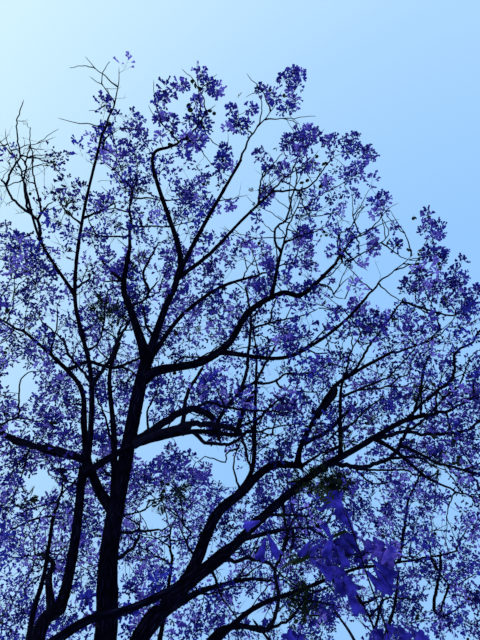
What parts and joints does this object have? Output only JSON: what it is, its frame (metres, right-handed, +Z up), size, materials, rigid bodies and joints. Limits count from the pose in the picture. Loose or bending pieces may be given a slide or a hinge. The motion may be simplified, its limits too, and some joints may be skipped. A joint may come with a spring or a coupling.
{
  "type": "jacaranda tree",
  "caption": "Tall flowering jacaranda tree with a leaning trunk, long winding boughs and open masses of violet-blue blossom at their ends.",
  "frame": {"origin": "middle of the flat cut under the trunk, at ground level", "axes": "+Z up, -Y towards the side that the trunk's top leans to, +X towards the side of the longest boughs"},
  "size_m": [9.5206, 9.6714, 10.525],
  "materials": {
    "bark": "matte",
    "blossom": "matte"
  },
  "bodies": {
    "root": {"trunk": "bark", "right_stem": "bark", "left_stem": "bark", "left_low_bough": "bark", "left_bough": "bark", "top_left_bough": "bark", "bare_left_bough": "bark", "crossing_bough": "bark", "leader_bough": "bark", "upright_bough": "bark", "inner_bough": "bark", "overhead_bough": "bark", "right_tip_bough": "bark", "right_arc_bough": "bark", "middle_bough": "bark", "long_bough": "bark", "long_bough_spur": "bark", "outer_bough": "bark", "right_rising_bough": "bark", "right_low_bough": "bark", "right_spur": "bark", "right_drooping_bough": "bark", "front_bough": "bark", "lower_bough": "bark", "slim_stem": "bark", "far_left_bough": "bark", "far_back_bough": "bark", "far_middle_bough": "bark", "far_right_bough": "bark", "back_left_bough": "bark", "low_bough": "bark", "bloom_left_low_bough": "blossom", "bloom_left_bough": "blossom", "bloom_top_left_bough": "blossom", "bloom_bare_left_bough": "blossom", "bloom_crossing_bough": "blossom", "bloom_leader_bough": "blossom", "bloom_upright_bough": "blossom", "bloom_inner_bough": "blossom", "bloom_overhead_bough": "blossom", "bloom_right_tip_bough": "blossom", "bloom_right_arc_bough": "blossom", "bloom_middle_bough": "blossom", "bloom_long_bough": "blossom", "bloom_long_bough_spur": "blossom", "bloom_outer_bough": "blossom", "bloom_right_rising_bough": "blossom", "bloom_right_low_bough": "blossom", "bloom_right_spur": "blossom", "bloom_right_drooping_bough": "blossom", "bloom_front_bough": "blossom", "bloom_lower_bough": "blossom", "bloom_slim_stem": "blossom", "bloom_far_left_bough": "blossom", "bloom_far_back_bough": "blossom", "bloom_far_middle_bough": "blossom", "bloom_far_right_bough": "blossom", "bloom_back_left_bough": "blossom", "bloom_low_bough": "blossom"}
  },
  "joints": []
}
